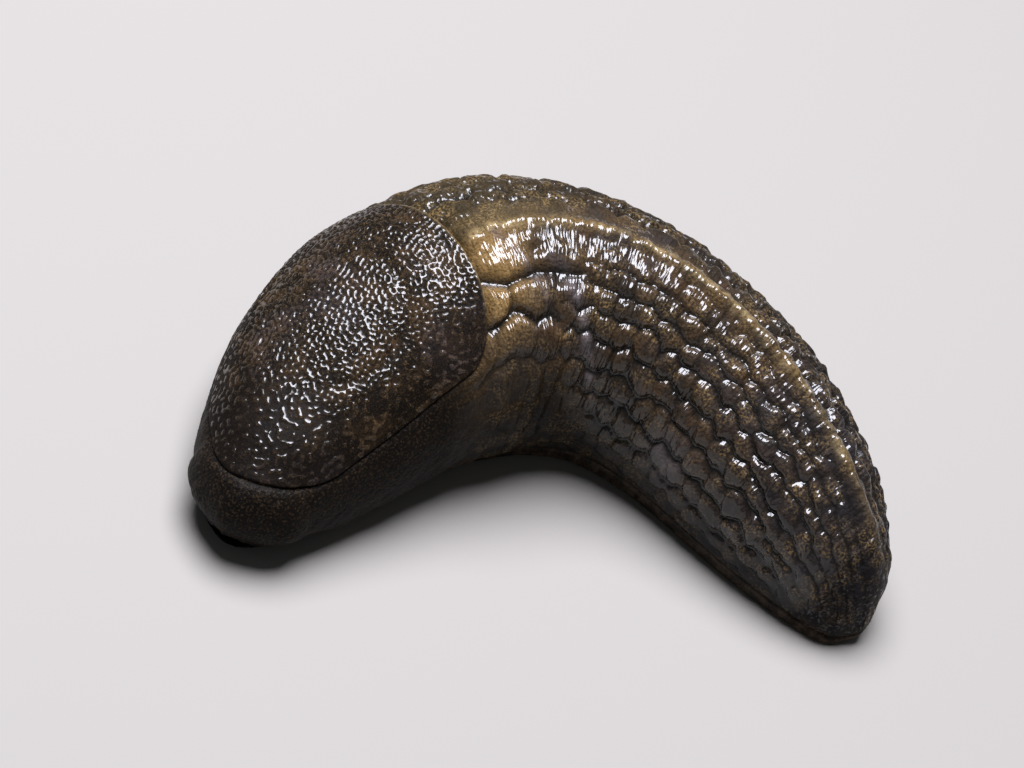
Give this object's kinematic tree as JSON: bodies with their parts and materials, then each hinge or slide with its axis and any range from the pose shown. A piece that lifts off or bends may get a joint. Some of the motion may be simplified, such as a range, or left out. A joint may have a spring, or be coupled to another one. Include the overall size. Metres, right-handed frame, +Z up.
{
  "type": "keeled slug",
  "caption": "Keeled slug at life size, contracted into a C-shaped curve and resting on its sole, with mantle shield, tail keel and rows of skin tubercles.",
  "frame": {"origin": "on the floor under the middle of the body's box, where the sole rests", "axes": "+X from the head end to the tail end along the chord of the curve, +Y to the slug's right side and the outside of its bend, +Z up"},
  "size_m": [0.0252, 0.0149, 0.0094],
  "materials": {
    "mantle_skin": "wet skin, granular, glossy",
    "back_skin": "wet skin with rows of tubercles, glossy",
    "neck_skin": "damp fine-grained skin, satin",
    "feeler_skin": "wet skin, smooth",
    "sole_skin": "wet skin, smooth, pale"
  },
  "bodies": {
    "root": {"head": "neck_skin", "eyestalk_left": "feeler_skin", "eyestalk_right": "feeler_skin", "feeler_left": "feeler_skin", "feeler_right": "feeler_skin", "neck": "neck_skin", "mantle": "mantle_skin", "trunk_front": "back_skin", "trunk_middle": "back_skin", "trunk_rear": "back_skin", "tail": "back_skin", "foot_front": "sole_skin", "foot_middle": "sole_skin", "foot_rear": "sole_skin"}
  },
  "joints": []
}
